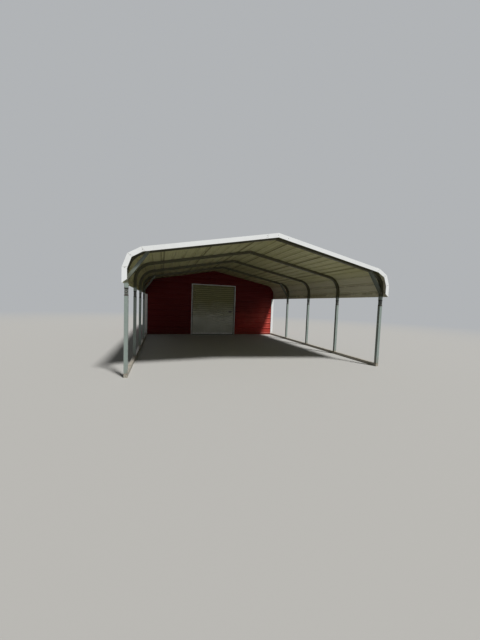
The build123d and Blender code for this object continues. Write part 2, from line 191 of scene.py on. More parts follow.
def add_camera():
    data = bpy.data.cameras.new("camera")
    data.sensor_width = SENSOR
    data.lens = FOCAL_PIXELS * SENSOR / PHOTO_HEIGHT
    data.clip_end = 200
    camera = bpy.data.objects.new("camera", data)
    bpy.context.collection.objects.link(camera)
    level = Matrix.Rotation(math.pi / 2, 4, "X")
    turn = Matrix.Rotation(-CAMERA_YAW, 4, "Z")
    tilt = Matrix.Rotation(CAMERA_PITCH, 4, "X")
    roll = Matrix.Rotation(CAMERA_ROLL, 4, "Z")
    camera.matrix_world = Matrix.Translation(CAMERA_PLACE) @ turn @ level @ tilt @ roll
    bpy.context.scene.camera = camera


def add_key_light():
    data = bpy.data.lights.new("key_light", "SUN")
    data.energy = KEY_STRENGTH
    data.angle = KEY_WIDTH
    data.color = KEY_COLOUR
    lamp = bpy.data.objects.new("key_light", data)
    bpy.context.collection.objects.link(lamp)
    lamp.matrix_world = Vector(KEY_TOWARDS).to_track_quat("Z", "Y").to_matrix().to_4x4()


def backdrop_rays(nodes, links):
    """1 for the rays that show the background: the camera's, and those seen in gloss or glass."""
    path = nodes.new("ShaderNodeLightPath")
    result = path.outputs["Is Camera Ray"]
    for other in ("Is Glossy Ray", "Is Transmission Ray"):
        either = nodes.new("ShaderNodeMath")
        either.operation = "MAXIMUM"
        links.new(result, either.inputs[0])
        links.new(path.outputs[other], either.inputs[1])
        result = either.outputs[0]
    return result


def add_world():
    """Soft fill on the object, with a pale background."""
    world = bpy.data.worlds.new("studio")
    bpy.context.scene.world = world
    world.use_nodes = True
    nodes = world.node_tree.nodes
    links = world.node_tree.links
    nodes.clear()
    output = nodes.new("ShaderNodeOutputWorld")
    mixer = nodes.new("ShaderNodeMixShader")
    links.new(backdrop_rays(nodes, links), mixer.inputs[0])
    for socket, colour, strength in ((1, FILL_COLOUR, FILL_STRENGTH), (2, BACKDROP, 1.0)):
        light = nodes.new("ShaderNodeBackground")
        light.inputs["Color"].default_value = (*colour, 1)
        light.inputs["Strength"].default_value = strength
        links.new(light.outputs[0], mixer.inputs[socket])
    links.new(mixer.outputs[0], output.inputs[0])


def add_floor():
    """Pale floor that fades to the background away from the object."""
    bpy.ops.mesh.primitive_plane_add(size=FLOOR_SIZE)
    floor = bpy.context.object
    floor.name = "studio_floor"
    material = bpy.data.materials.new("studio_floor")
    material.use_nodes = True
    nodes = material.node_tree.nodes
    links = material.node_tree.links
    shader = nodes["Principled BSDF"]
    shader.inputs["Roughness"].default_value = 0.9
    seen = backdrop_rays(nodes, links)
    colour = nodes.new("ShaderNodeMix")
    colour.data_type = "RGBA"
    colour.inputs[6].default_value = (*FLOOR_BOUNCE, 1)
    colour.inputs[7].default_value = (*FLOOR_COLOUR, 1)
    links.new(seen, colour.inputs["Factor"])
    links.new(colour.outputs[2], shader.inputs["Base Color"])
    glow = nodes.new("ShaderNodeEmission")
    glow.inputs["Color"].default_value = (*BACKDROP, 1)
    mixer = nodes.new("ShaderNodeMixShader")
    place = nodes.new("ShaderNodeTexCoord")
    reach = nodes.new("ShaderNodeVectorMath")
    reach.operation = "LENGTH"
    fade = nodes.new("ShaderNodeMapRange")
    fade.interpolation_type = "SMOOTHSTEP"
    fade.inputs["From Min"].default_value, fade.inputs["From Max"].default_value = FLOOR_FADE
    shown = nodes.new("ShaderNodeMath")
    shown.operation = "MULTIPLY"
    links.new(place.outputs["Object"], reach.inputs[0])
    links.new(reach.outputs["Value"], fade.inputs["Value"])
    links.new(fade.outputs[0], shown.inputs[0])
    links.new(seen, shown.inputs[1])
    links.new(shown.outputs[0], mixer.inputs[0])
    links.new(shader.outputs[0], mixer.inputs[1])
    links.new(glow.outputs[0], mixer.inputs[2])
    links.new(mixer.outputs[0], nodes["Material Output"].inputs["Surface"])
    floor.data.materials.append(material)


# Materials

class Shade:
    """A material with a few short calls for its procedural nodes."""

    def __init__(self, name, roughness=0.5, metallic=0.0, specular=0.5):
        self.material = bpy.data.materials.new(name)
        self.material.use_nodes = True
        self.tree = self.material.node_tree
        self.shader = self.tree.nodes["Principled BSDF"]
        self.shader.inputs["Roughness"].default_value = roughness
        self.shader.inputs["Metallic"].default_value = metallic
        self.shader.inputs["Specular IOR Level"].default_value = specular
        self.place = self.add("ShaderNodeTexCoord").outputs["Object"]
        split = self.add("ShaderNodeSeparateXYZ")
        self.join(self.place, split.inputs[0])
        self.x, self.y, self.z = split.outputs

    def add(self, kind):
        return self.tree.nodes.new(kind)

    def join(self, source, target):
        """Links a socket, or sets the value if the source is a number or a colour."""
        if isinstance(source, bpy.types.NodeSocket):
            self.tree.links.new(source, target)
        elif isinstance(source, tuple):
            target.default_value = (*source, 1.0)
        else:
            target.default_value = source

    def noise(self, scale, detail=4, roughness=0.5, stretch=(1, 1, 1)):
        mapping = self.add("ShaderNodeMapping")
        mapping.inputs["Scale"].default_value = stretch
        self.join(self.place, mapping.inputs["Vector"])
        node = self.add("ShaderNodeTexNoise")
        node.inputs["Scale"].default_value = scale
        node.inputs["Detail"].default_value = detail
        node.inputs["Roughness"].default_value = roughness
        self.join(mapping.outputs[0], node.inputs["Vector"])
        return node.outputs[0]

    def cells(self, scale):
        node = self.add("ShaderNodeTexVoronoi")
        node.inputs["Scale"].default_value = scale
        self.join(self.place, node.inputs["Vector"])
        grey = self.add("ShaderNodeRGBToBW")
        self.join(node.outputs["Color"], grey.inputs[0])
        return grey.outputs[0]

    def math(self, operation, first, second=0.0):
        node = self.add("ShaderNodeMath")
        node.operation = operation
        self.join(first, node.inputs[0])
        self.join(second, node.inputs[1])
        return node.outputs[0]

    def band(self, value, low, high, low_out=0.0, high_out=1.0):
        """Smooth step of a value from low to high."""
        node = self.add("ShaderNodeMapRange")
        node.interpolation_type = "SMOOTHSTEP"
        self.join(value, node.inputs["Value"])
        node.inputs["From Min"].default_value = low
        node.inputs["From Max"].default_value = high
        node.inputs["To Min"].default_value = low_out
        node.inputs["To Max"].default_value = high_out
        return node.outputs[0]

    def mix(self, factor, first, second, share=1.0):
        """Second colour over the first, by the factor times the share."""
        node = self.add("ShaderNodeMix")
        node.data_type = "RGBA"
        self.join(self.math("MULTIPLY", factor, share) if share < 1.0 else factor, node.inputs["Factor"])
        self.join(first, node.inputs[6])
        self.join(second, node.inputs[7])
        return node.outputs[2]

    def near_rib(self, across, first, pitch, width):
        """1 at the foot of each rib, fading out over the width on both sides of it."""
        turns = self.math("DIVIDE", self.math("SUBTRACT", across, first), pitch)
        offset = self.math("ABSOLUTE", self.math("SUBTRACT", turns, self.math("ROUND", turns)))
        gap = self.math("ABSOLUTE", self.math("SUBTRACT", self.math("MULTIPLY", offset, pitch), RIB[0] / 2))
        return self.band(gap, width, 0.0)

    def patchy(self, value, scale, low, high, detail=5):
        """The value, broken up into patches."""
        return self.math("MULTIPLY", value, self.band(self.noise(scale, detail), low, high))

    def splash(self, top, scale=13):
        """Patchy dirt thrown up from the ground."""
        return self.patchy(self.band(self.z, top, 0.0), scale, 0.36, 0.64, 6)

    def sheen(self, scale, low, high):
        """Roughness that drifts between two values."""
        return self.band(self.noise(scale, 4), 0.3, 0.7, low, high)

    def waves(self, scale, grain=70, grain_share=0.06):
        """Long waves of thin sheet, with a fine grain."""
        fine = self.math("MULTIPLY", self.noise(grain, 3), grain_share)
        return self.math("ADD", self.noise(scale, 2), fine)

    def distance(self, first, second):
        """Length of a slanted line from its two sides."""
        squares = self.math("ADD", self.math("POWER", first, 2.0), self.math("POWER", second, 2.0))
        return self.math("SQRT", squares)

    def finish(self, colour, roughness=None, height=None, depth=0.001, strength=1.0):
        self.join(colour, self.shader.inputs["Base Color"])
        if roughness is not None:
            self.join(roughness, self.shader.inputs["Roughness"])
        if height is not None:
            bump = self.add("ShaderNodeBump")
            bump.inputs["Distance"].default_value = depth
            bump.inputs["Strength"].default_value = strength
            self.join(height, bump.inputs["Height"])
            self.join(bump.outputs[0], self.shader.inputs["Normal"])
        return self.material


def galvanised(name, painted_shade_band):
    """Spangled zinc with runs and rust, painted shade by height, burnt rings at the joints, those at the pin
    also painting the shade of its gaps, a pin darkened with painted shade, splashed dirt, and dust on the
    rails.
    """
    shade = Shade(name, metallic=0.2)
    spangle = shade.cells(95)
    colour = shade.mix(spangle, (0.250, 0.310, 0.285), (0.322, 0.385, 0.358))
    dull = shade.band(shade.noise(2.2, 6, 0.65), 0.42, 0.68)
    colour = shade.mix(dull, colour, (0.328, 0.380, 0.355), 0.6)
    runs = shade.band(shade.noise(1, 5, 0.6, (38, 38, 1.3)), 0.5, 0.8)
    colour = shade.mix(runs, colour, (0.20, 0.21, 0.19), 0.45)
    # Painted shade by height: the bows above the eave, and the braces, go dark olive
    colour = shade.mix(shade.band(shade.z, *painted_shade_band), colour, ZINC_PAINTED_SHADE)
    rust = shade.band(shade.noise(9, 8, 0.75), 0.64, 0.74)
    colour = shade.mix(rust, colour, (0.26, 0.12, 0.05), 0.55)
    wobble = shade.math("MULTIPLY", shade.math("SUBTRACT", shade.noise(40, 4), 0.5), 0.012)
    height = shade.math("ADD", shade.z, wobble)
    outwards = shade.math("ABSOLUTE", shade.x)
    on_leg = shade.band(outwards, HALF_WIDTH - TUBE - 0.02, HALF_WIDTH - TUBE - 0.01)
    upwards = shade.math("SUBTRACT", height, LEG_TOP + PIN_SHOW / 2)
    # Painted shade on the pin between the leg and the bow
    pin = shade.band(shade.math("ABSOLUTE", upwards), PIN_SHOW / 2 + 0.004, PIN_SHOW / 2)
    colour = shade.mix(shade.math("MULTIPLY", pin, on_leg), colour, (0.105, 0.110, 0.098), 0.65)
    # Rings at the leg's top and the bow's end: burnt steel and painted shade of the gaps at the pin; the ring
    # at the foot is burnt steel
    for joint, width in ((LEG_TOP, BURNT_AND_SHADE_WIDTH), (BOW_END, BURNT_AND_SHADE_WIDTH), (TUBE, BURNT_AND_SHADE_WIDTH * 0.7)):
        gap = shade.math("ABSOLUTE", shade.math("SUBTRACT", height, joint))
        ring = shade.math("MULTIPLY", shade.band(gap, width, width * 0.65), on_leg)
        colour = shade.mix(ring, colour, BURNT_AND_SHADE, 0.96)
    from_pin = shade.distance(shade.math("SUBTRACT", outwards, LEG_X), upwards)
    colour = shade.mix(shade.band(from_pin, PIN_STAIN, PIN_STAIN * 0.7), colour, BURNT_AND_SHADE, 0.92)
    colour = shade.mix(shade.splash(0.30), colour, (0.28, 0.22, 0.15), 0.6)
    dust = shade.patchy(shade.band(shade.z, TUBE + 0.02, TUBE), 6, 0.2, 0.5, 6)
    colour = shade.mix(dust, colour, (0.46, 0.42, 0.35), 0.75)
    worn = shade.math("ADD", shade.math("MULTIPLY", spangle, 0.3), dull)
    grain = shade.math("ADD", spangle, shade.noise(220, 3))
    return shade.finish(colour, shade.band(worn, 0, 1.3, 0.42, 0.64), grain, 0.0002, 0.35)


def roof_distance(shade):
    """Distance from the ridge down the slope."""
    along = shade.math("MULTIPLY", shade.math("ABSOLUTE", shade.x), math.cos(SLOPE))
    drop = shade.math("MULTIPLY", shade.math("SUBTRACT", PEAK, shade.z), math.sin(SLOPE))
    return shade.math("ADD", along, drop)


def roof_white():
    """White coat with runs down the slope and dirt held against the ribs."""
    shade = Shade("roof_white", specular=0.3)
    faded = shade.band(shade.noise(1.1, 6, 0.6), 0.4, 0.75)
    colour = shade.mix(faded, (0.69, 0.69, 0.675), (0.63, 0.625, 0.59))
    runs = shade.band(shade.noise(1, 6, 0.62, (0.7, 16, 0.7)), 0.50, 0.85)
    colour = shade.mix(runs, colour, (0.50, 0.48, 0.42), 0.5)
    foot = shade.near_rib(roof_distance(shade), RIB_PITCH / 2, RIB_PITCH, 0.016)
    colour = shade.mix(shade.patchy(foot, 7, 0.35, 0.65), colour, (0.42, 0.40, 0.34), 0.55)
    return shade.finish(colour, shade.sheen(6, 0.46, 0.62), shade.waves(3.0), 0.006, 0.5)


def roof_backer():
    """Thin beige coat under the roof, with an olive-yellow cast of painted bounce light, with stains, and
    darker along the feet of the ribs and at the laps, painted shade of the creases with some dirt.

    It has painted shade towards the room and to the left, and painted light at the right eave.
    """
    shade = Shade("roof_backer", specular=0.2)
    faded = shade.band(shade.noise(0.8, 5, 0.6), 0.35, 0.7)
    # The olive-yellow cast is painted bounce light from the ground
    colour = shade.mix(faded, (0.665, 0.67, 0.385), (0.575, 0.575, 0.310))
    # Painted shade, deepening towards the room and to the left
    inwards = shade.math("SUBTRACT", shade.y, shade.math("MULTIPLY", shade.x, 0.35))
    rear_painted_shade = shade.band(shade.math("ADD", inwards, shade.noise(0.9, 4)), BOW_Y[1], BOW_Y[4] + 1.2)
    colour = shade.mix(rear_painted_shade, colour, (0.22, 0.19, 0.09), 0.64)
    stains = shade.band(shade.noise(1, 6, 0.68, (9, 0.55, 9)), 0.55, 0.78)
    colour = shade.mix(stains, colour, (0.32, 0.25, 0.14), 0.5)
    # Painted light along the right eave
    right_eave_painted_light = shade.band(shade.math("SUBTRACT", shade.x, shade.z), 0.1, 0.9)
    colour = shade.mix(right_eave_painted_light, colour, (0.82, 0.80, 0.68), 0.8)
    # Darker along the feet of the ribs: painted shade of the creases, with some dirt
    foot = shade.near_rib(roof_distance(shade), RIB_PITCH / 2, RIB_PITCH, 0.013)
    colour = shade.mix(shade.patchy(foot, 5, 0.3, 0.6), colour, (0.26, 0.22, 0.14), 0.6)
    # Darker at the laps: painted shade of the creases, with some dirt
    lap = shade.near_rib(roof_distance(shade), RIB_PITCH * 1.5, RIB_PITCH * RIBS_PER_SHEET, 0.022)
    colour = shade.mix(lap, colour, (0.15, 0.13, 0.05), 0.75)
    return shade.finish(colour, shade.sheen(8, 0.42, 0.6), shade.waves(3.0, 80), 0.005, 0.5)


def trim_white():
    """White trim, darker where it faces up, which is painted shade on its lit top with some dust, with runs
    and low dirt.
    """
    shade = Shade("trim_white", specular=0.35)
    faded = shade.band(shade.noise(1.7, 6, 0.6), 0.4, 0.75)
    # The faint blue in the white is a painted reflection of the sky
    colour = shade.mix(faded, (0.91, 0.938, 0.95), (0.86, 0.882, 0.885))
    # Painted shade on faces that look up, with some dust
    facing = shade.add("ShaderNodeSeparateXYZ")
    shade.join(shade.add("ShaderNodeNewGeometry").outputs["True Normal"], facing.inputs[0])
    flat = shade.band(facing.outputs[2], 0.3, 0.7)
    colour = shade.mix(flat, colour, (0.67, 0.665, 0.63))
    runs = shade.band(shade.noise(1, 6, 0.65, (30, 30, 2.2)), 0.56, 0.85)
    colour = shade.mix(runs, colour, (0.54, 0.52, 0.47), 0.4)
    colour = shade.mix(shade.splash(0.24), colour, (0.46, 0.37, 0.26), 0.5)
    return shade.finish(colour, shade.sheen(7, 0.40, 0.55), shade.waves(5, grain_share=0.08), 0.002, 0.4)


def siding_red():
    """Barn red coat, chalked in patches, with painted shade on the front wall under the roof, deepest up and
    to the left, and dirt on the ribs.
    """
    shade = Shade("siding_red", specular=0.15)
    chalk = shade.band(shade.noise(1.4, 6, 0.62), 0.38, 0.75)
    colour = shade.mix(chalk, (0.440, 0.046, 0.034), (0.540, 0.095, 0.072))
    # Painted shade on the front wall under the roof, deepest up and to the left
    under_roof = shade.band(shade.y, ROOM_FRONT + 0.02, ROOM_FRONT)
    drift = shade.math("ADD", shade.math("MULTIPLY", shade.x, -0.42), shade.noise(1.3, 3))
    wall_painted_shade = shade.math("MULTIPLY", shade.band(shade.math("ADD", shade.z, drift), 0.15, 1.25), under_roof)
    colour = shade.mix(wall_painted_shade, colour, (0.090, 0.0035, 0.0045), 0.9)
    runs = shade.band(shade.noise(1, 6, 0.66, (24, 24, 1.5)), 0.52, 0.85)
    colour = shade.mix(runs, colour, (0.19, 0.010, 0.013), 0.45)
    foot = shade.near_rib(shade.z, FIRST_WALL_RIB, RIB_PITCH, 0.014)
    colour = shade.mix(shade.patchy(foot, 9, 0.4, 0.7), colour, (0.15, 0.02, 0.018), 0.6)
    colour = shade.mix(shade.splash(0.26, 22), colour, (0.26, 0.13, 0.085), 0.4)
    return shade.finish(colour, shade.sheen(8, 0.34, 0.52), shade.waves(3.2), 0.005, 0.5)


def siding_backer():
    """Thin pale coat on the inside of the siding."""
    shade = Shade("siding_backer")
    colour = shade.mix(shade.noise(3, 5), (0.50, 0.49, 0.44), (0.42, 0.41, 0.35))
    return shade.finish(colour, shade.sheen(8, 0.4, 0.6), shade.noise(60, 3), 0.0004, 0.3)


def door_coat():
    """Off-white curtain with runs and dirt low down, and painted shade that makes it darker and yellower
    towards its top and in its grooves there.
    """
    shade = Shade("door_coat", specular=0.25)
    faded = shade.band(shade.noise(1.6, 6, 0.6), 0.35, 0.7)
    colour = shade.mix(faded, (0.80, 0.825, 0.77), (0.70, 0.72, 0.665))
    # Painted shade: the curtain goes darker and yellower towards its top
    height = shade.math("ADD", shade.z, shade.math("MULTIPLY", shade.noise(2.5, 3), 0.5))
    top_painted_shade = shade.band(height, 0.75, 1.75)
    colour = shade.mix(top_painted_shade, colour, (0.33, 0.325, 0.13), 0.88)
    runs = shade.band(shade.noise(1, 6, 0.66, (26, 26, 1.4)), 0.54, 0.85)
    colour = shade.mix(runs, colour, (0.46, 0.455, 0.39), 0.35)
    # Painted shade in the grooves, where the top is shaded
    groove_painted_shade = shade.math("MULTIPLY", shade.band(shade.y, DOOR_FACE + 0.004, DOOR_FACE + 0.014), top_painted_shade)
    colour = shade.mix(groove_painted_shade, colour, (0.16, 0.155, 0.07), 0.65)
    colour = shade.mix(shade.splash(0.30, 20), colour, (0.40, 0.34, 0.26), 0.3)
    return shade.finish(colour, shade.sheen(9, 0.35, 0.55), shade.noise(50, 3), 0.0004, 0.25)


def bare_steel():
    """Worn steel of the latch, with rust."""
    shade = Shade("bare_steel", metallic=0.7)
    wear = shade.noise(18, 6, 0.6)
    colour = shade.mix(shade.band(wear, 0.35, 0.7), (0.20, 0.20, 0.195), (0.11, 0.11, 0.105))
    rust = shade.band(shade.noise(30, 6, 0.7), 0.58, 0.74)
    colour = shade.mix(rust, colour, (0.23, 0.09, 0.035), 0.7)
    return shade.finish(colour, shade.band(wear, 0.2, 0.8, 0.32, 0.6), wear, 0.0003, 0.3)


def bar_zinc():
    """Bright zinc of the door's bottom bar."""
    shade = Shade("bar_zinc", metallic=0.3)
    wear = shade.noise(14, 6, 0.6)
    colour = shade.mix(shade.band(wear, 0.35, 0.7), (0.84, 0.85, 0.81), (0.68, 0.68, 0.64))
    return shade.finish(colour, shade.band(wear, 0.2, 0.8, 0.40, 0.62), shade.noise(120, 3), 0.0003, 0.3)


def weld_steel():
    """Weld beads, painted with zinc and gone rusty in places."""
    shade = Shade("weld_steel", metallic=0.4)
    rust = shade.band(shade.noise(45, 6, 0.7), 0.42, 0.62)
    colour = shade.mix(rust, (0.30, 0.31, 0.31), (0.24, 0.10, 0.045))
    return shade.finish(colour, shade.band(rust, 0, 1, 0.45, 0.8), shade.noise(160, 4), 0.0006, 0.6)


def rubber():
    """Black seal under the door, dusty in patches."""
    shade = Shade("rubber", roughness=0.85)
    dust = shade.band(shade.noise(24, 5), 0.4, 0.7)
    colour = shade.mix(dust, (0.022, 0.022, 0.022), (0.10, 0.085, 0.065), 0.5)
    return shade.finish(colour, None, shade.noise(300, 3), 0.0004, 0.4)


def screw_paint(name, fresh, worn):
    """Coat of screw heads and rivets, and of the dark strips at the laps that paint their shade line, worn in
    spots.
    """
    shade = Shade(name)
    colour = shade.mix(shade.band(shade.noise(60, 4, 0.6), 0.45, 0.65), fresh, worn)
    roughness = shade.band(shade.noise(90, 3), 0.3, 0.7, 0.3, 0.6)
    return shade.finish(colour, roughness, shade.noise(400, 2), 0.0002, 0.3)


# Lines of the cross-section

def roof_point(station, rise):
    """Point of the cross-section: station runs down the roof from the ridge, minus to the left."""
    side = -1 if station < 0 else 1
    station = abs(station)
    if station == 0:
        return 0.0, PEAK + rise / math.cos(SLOPE)
    if station < BEND_START:
        x = station * math.cos(SLOPE) + rise * math.sin(SLOPE)
        z = PEAK - station * math.sin(SLOPE) + rise * math.cos(SLOPE)
    elif station < BEND_END:
        angle = SLOPE + (station - BEND_START) / BEND_RADIUS
        x = BEND_X + (BEND_RADIUS + rise) * math.sin(angle)
        z = BEND_Z + (BEND_RADIUS + rise) * math.cos(angle)
    else:
        x = HALF_WIDTH + rise
        z = BEND_Z - (station - BEND_END)
    return side * x, z


def roof_normal(station):
    side = -1 if station < 0 else 1
    angle = SLOPE + min(max(abs(station) - BEND_START, 0) / BEND_RADIUS, BEND_TURN)
    return Vector((side * math.sin(angle), 0, math.cos(angle)))


def trim_points(rise):
    """Kinks of the folded trim on the right, from the ridge to its end."""
    quarter = BEND_TURN / 4
    points = [(0.0, PEAK + rise / math.cos(SLOPE))]
    for quarters, half_fold in ((0.5, 0.5), (2, 1), (3.5, 0.5)):
        angle = SLOPE + quarters * quarter
        reach = (BEND_RADIUS + rise) / math.cos(half_fold * quarter)
        points.append((BEND_X + reach * math.sin(angle), BEND_Z + reach * math.cos(angle)))
    end = EAVE if rise > (TRIM_TOP + TRIM_LOW) / 2 else EAVE + TRIM_END_CUT
    return points + [(HALF_WIDTH + rise, end)]


def trim_joint(rise):
    """Where the two halves of the trim meet, on the left of the ridge."""
    return TRIM_JOINT, PEAK + rise / math.cos(SLOPE) + TRIM_JOINT * math.tan(SLOPE)


def trim_line(half, rise):
    """Line along one half of the trim, from the joint to its end."""
    points = trim_points(rise)
    if half == "left":
        points = [(-x, z) for x, z in points[1:]]
    return [trim_joint(rise)] + points


def roofline(x):
    """Height under the bow's outer line, where the end walls are cut."""
    x = abs(x)
    if x < BEND_X + BEND_RADIUS * math.sin(SLOPE):
        return PEAK - SEAT / math.cos(SLOPE) - x * math.tan(SLOPE)
    return BEND_Z + math.sqrt(max((BEND_RADIUS - SEAT) ** 2 - (x - BEND_X) ** 2, 0))


def roofline_x(z):
    """The x at which the roofline comes down to a height."""
    if z > BEND_Z + BEND_RADIUS * math.cos(SLOPE):
        return (PEAK - SEAT / math.cos(SLOPE) - z) / math.tan(SLOPE)
    return BEND_X + math.sqrt(max((BEND_RADIUS - SEAT) ** 2 - (z - BEND_Z) ** 2, 0))


def rib(centre, shape=RIB):
    foot, crown, height = shape
    return [(centre - foot / 2, 0), (centre - crown / 2, height), (centre + crown / 2, height),
            (centre + foot / 2, 0)]


def minor_ribs(centre):
    """The two low ribs between one main rib and the next."""
    return rib(centre + RIB_PITCH / 3, MINOR_RIB) + rib(centre + RIB_PITCH * 2 / 3, MINOR_RIB)


def lap_rib(centre):
    """Rib at the lower edge of a sheet, raised to lie over the rib of the next one."""
    foot, crown, height = RIB
    ease = LAP_RISE * (foot - crown) / 2 / height
    return [(centre - foot / 2 - ease, 0), (centre - crown / 2, height + LAP_RISE),
            (centre + crown / 2, height + LAP_RISE), (centre + foot / 2, LAP_RISE),
            (centre + foot / 2 + LAP_LIP, LAP_RISE)]


# Meshes

def ring_points(radius, sides):
    angles = [side * math.tau / sides for side in range(sides)]
    return [(radius * math.cos(angle), radius * math.sin(angle)) for angle in angles]


def wall_faces(low, high, count):
    """Faces between two rings of points, of which the first numbers are given."""
    return [[low + i, low + (i + 1) % count, high + (i + 1) % count, high + i] for i in range(count)]


class Shape:
    """Points and faces of one piece, each face with the number of its material."""

    def __init__(self):
        self.points = []
        self.faces = []
        self.kinds = []

    def add(self, points, faces, kind=0):
        start = len(self.points)
        self.points += [tuple(point) for point in points]
        self.faces += [[start + corner for corner in face] for face in faces]
        self.kinds += [kind] * len(faces)

    def add_sheet(self, outer, inner, left_out=None):
        """Thin sheet between two grids of points, with a rim wherever its cells end.

        The outer side is of the first material, the inner side and the rim are of the second.
        """
        rows, columns = len(outer), len(outer[0])
        start = len(self.points)
        self.points += [tuple(point) for grid in (outer, inner) for row in grid for point in row]
        cells = {(row, column) for row in range(rows - 1) for column in range(columns - 1)
                 if left_out is None or not left_out(row, column)}

        def number(layer, corner):
            return start + (layer * rows + corner[0]) * columns + corner[1]

        for row, column in sorted(cells):
            corners = [(row, column), (row, column + 1), (row + 1, column + 1), (row + 1, column)]
            self.faces.append([number(0, corner) for corner in corners])
            self.faces.append([number(1, corner) for corner in reversed(corners)])
            self.kinds += [0, 1]
            beside = [(row - 1, column), (row, column + 1), (row + 1, column), (row, column - 1)]
            for side, neighbour in enumerate(beside):
                if neighbour not in cells:
                    first, second = corners[side], corners[(side + 1) % 4]
                    rim = ((0, second), (0, first), (1, first), (1, second))
                    self.faces.append([number(layer, corner) for layer, corner in rim])
                    self.kinds.append(1)

    def add_block(self, low, high, kind=0):
        """Solid between two outlines with the same number of corners."""
        count = len(low)
        ends = [list(reversed(range(count))), list(range(count, 2 * count))]
        self.add(low + high, ends + wall_faces(0, count, count), kind)

    def add_plate(self, corners, thickness, kind=0):
        """Flat plate, thickened along a vector."""
        self.add_block(corners, [Vector(corner) + thickness for corner in corners], kind)

    def add_prism(self, place, radius, height, sides, kind=0):
        """Round or hexagonal head that stands on a place, which is a matrix."""
        low, high = ([place @ Vector((x, y, z)) for x, y in ring_points(radius, sides)]
                     for z in (0, height))
        self.add_block(low, high, kind)

    def add_screw(self, point, outward, height=1.0):
        """Hexagon head on a washer, turned at random."""
        outward = Vector(outward).normalized()
        turn = Matrix.Rotation(rng.uniform(0, math.tau), 4, "Z")
        place = Matrix.Translation(point) @ outward.to_track_quat("Z", "Y").to_matrix().to_4x4() @ turn
        self.add_prism(place, WASHER[0], WASHER[1] * height, WASHER_SIDES)
        lifted = place @ Matrix.Translation((0, 0, WASHER[1] * height))
        self.add_prism(lifted, HEX_HEAD[0], HEX_HEAD[1] * height, 6)

    def add_bead(self, points, closed=False):
        """Weld bead along a line of points, uneven as a hand weld is."""
        path = [Vector(point) for point in points]
        if closed:
            path.append(path[0])
        spots = []
        for first, second in zip(path, path[1:]):
            steps = max(int((second - first).length / BEAD_STEP), 1)
            spots += [first.lerp(second, step / steps) for step in range(steps)]
        if not closed:
            spots.append(path[-1])
        rings = []
        for index, spot in enumerate(spots):
            before = spots[index - 1] if index or closed else spot
            after = spots[(index + 1) % len(spots)] if index + 1 < len(spots) or closed else spot
            turn = (after - before).normalized().to_track_quat("Z", "Y")
            ring = ring_points(BEAD_RADIUS * rng.uniform(0.75, 1.2), BEAD_SIDES)
            rings.append([spot + turn @ Vector((x, y, 0)) for x, y in ring])
        count = len(rings)
        faces = []
        for index in range(count if closed else count - 1):
            faces += wall_faces(index * BEAD_SIDES, (index + 1) % count * BEAD_SIDES, BEAD_SIDES)
        if not closed:
            last = (count - 1) * BEAD_SIDES
            faces += [list(reversed(range(BEAD_SIDES))), list(range(last, last + BEAD_SIDES))]
        self.add([point for ring in rings for point in ring], faces)

    def piece(self, name, materials, replaced=()):
        """Makes the object with its finishes, hangs it on what it rides on, and hides the nodes that it
        stands for.
        """
        mesh = bpy.data.meshes.new(name)
        mesh.from_pydata(self.points, [], self.faces)
        for material in materials:
            mesh.materials.append(material)
        mesh.polygons.foreach_set("material_index", self.kinds)
        cleaner = bmesh.new()
        cleaner.from_mesh(mesh)
        bmesh.ops.remove_doubles(cleaner, verts=cleaner.verts, dist=1e-6)
        bmesh.ops.dissolve_degenerate(cleaner, edges=cleaner.edges, dist=1e-6)
        bmesh.ops.recalc_face_normals(cleaner, faces=cleaner.faces)
        cleaner.to_mesh(mesh)
        cleaner.free()
        mesh.shade_smooth()
        mesh.set_sharp_from_angle(angle=SHARP_ANGLE)
        built = bpy.data.objects.new(name, mesh)
        bpy.context.collection.objects.link(built)
        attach(built, "root")
        if replaced:
            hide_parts(*replaced)
        return built


# Roof

def follow_bend(corners):
    """Adds points wherever a sheet goes round the bend."""
    result = [corners[0]]
    for (start, start_rise), (end, end_rise) in zip(corners, corners[1:]):
        bends = end > BEND_START and start < BEND_END
        steps = math.ceil((end - start) / BEND_STEP) if bends else 1
        for step in range(1, steps + 1):
            share = step / steps
            rise = start_rise + (end_rise - start_rise) * share
            result.append((start + (end - start) * share, rise))
    return result


def add_roof_panel(name, corners):
    """Roof sheet through the corners of its profile, given as station and rise."""
    shape = Shape()
    grids = []
    for thickness in (SHEET, 0):
        rows = [roof_point(station, SEAT + thickness + rise) for station, rise in corners]
        grids.append([[(x, y, z) for y in (ROOF_FRONT, ROOF_REAR)] for x, z in rows])
    shape.add_sheet(*grids)
    shape.piece(f"{name}_formed", (finish["roof_white"], finish["roof_backer"]), (name,))


def add_roof():
    """The ridge sheet, and three sheets down each side, the last one round the bend."""
    first = RIB_PITCH / 2
    right = rib(first) + minor_ribs(first) + lap_rib(first + RIB_PITCH)
    add_roof_panel("roof_panel_ridge", [(-s, r) for s, r in reversed(right)] + [(0, 0)] + right)
    start = first + RIB_PITCH
    cover = RIBS_PER_SHEET * RIB_PITCH
    for name, upper in (("upper", start), ("middle", start + cover), ("lower", start + 2 * cover)):
        corners = rib(upper)
        centre = upper
        last = upper + cover if name != "lower" else EAVE_STATION
        while centre + RIB_PITCH + RIB[0] / 2 < last:
            corners += minor_ribs(centre) + rib(centre + RIB_PITCH)
            centre += RIB_PITCH
        if name == "lower":
            corners += rib(centre + RIB_PITCH / 3, MINOR_RIB) + [(EAVE_STATION, 0)]
        else:
            corners += minor_ribs(centre) + lap_rib(last)
        corners = follow_bend(corners)
        add_roof_panel(f"roof_panel_right_{name}", corners)
        add_roof_panel(f"roof_panel_left_{name}", [(-s, r) for s, r in corners])


